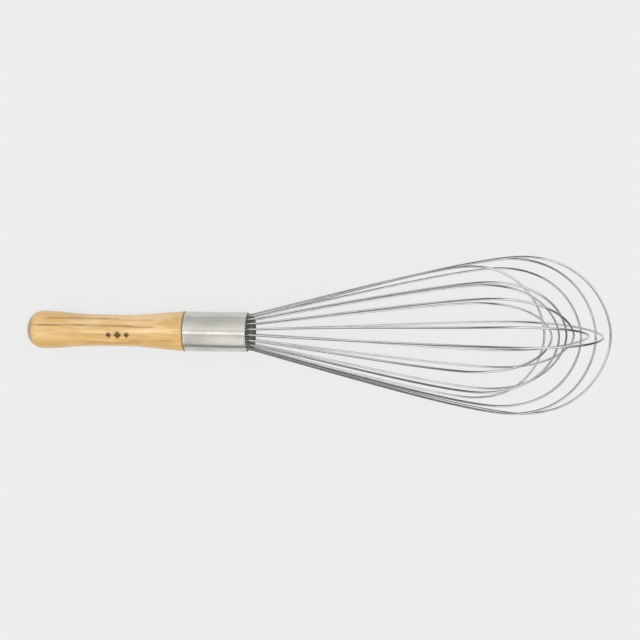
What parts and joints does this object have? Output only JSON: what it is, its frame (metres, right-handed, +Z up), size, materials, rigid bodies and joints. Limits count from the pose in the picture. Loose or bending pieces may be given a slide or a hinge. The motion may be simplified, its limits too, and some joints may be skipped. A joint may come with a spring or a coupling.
{
  "type": "balloon whisk",
  "caption": "Balloon whisk: a waisted wooden handle, a steel ferrule, a dark slotted core and nested wire loops that form an open balloon.",
  "frame": {"origin": "centre of the whisk's footprint on the surface that it lies on", "axes": "+Z up from the surface, +X from the handle's butt towards the balloon's tip, +Y to the left seen from the butt"},
  "size_m": [0.303, 0.0814, 0.0811],
  "materials": {
    "handle_wood": "satin",
    "ferrule_steel": "satin",
    "wire_steel": "polished",
    "core_nylon": "matte"
  },
  "bodies": {
    "root": {"handle": "handle_wood", "ferrule": "ferrule_steel", "core": "core_nylon", "brad_near": "wire_steel", "brad_far": "wire_steel", "wire_loop_01": "wire_steel", "wire_loop_02": "wire_steel", "wire_loop_03": "wire_steel", "wire_loop_04": "wire_steel", "wire_loop_05": "wire_steel", "wire_loop_06": "wire_steel", "wire_loop_07": "wire_steel", "wire_loop_08": "wire_steel", "wire_loop_09": "wire_steel", "wire_loop_10": "wire_steel"}
  },
  "joints": []
}
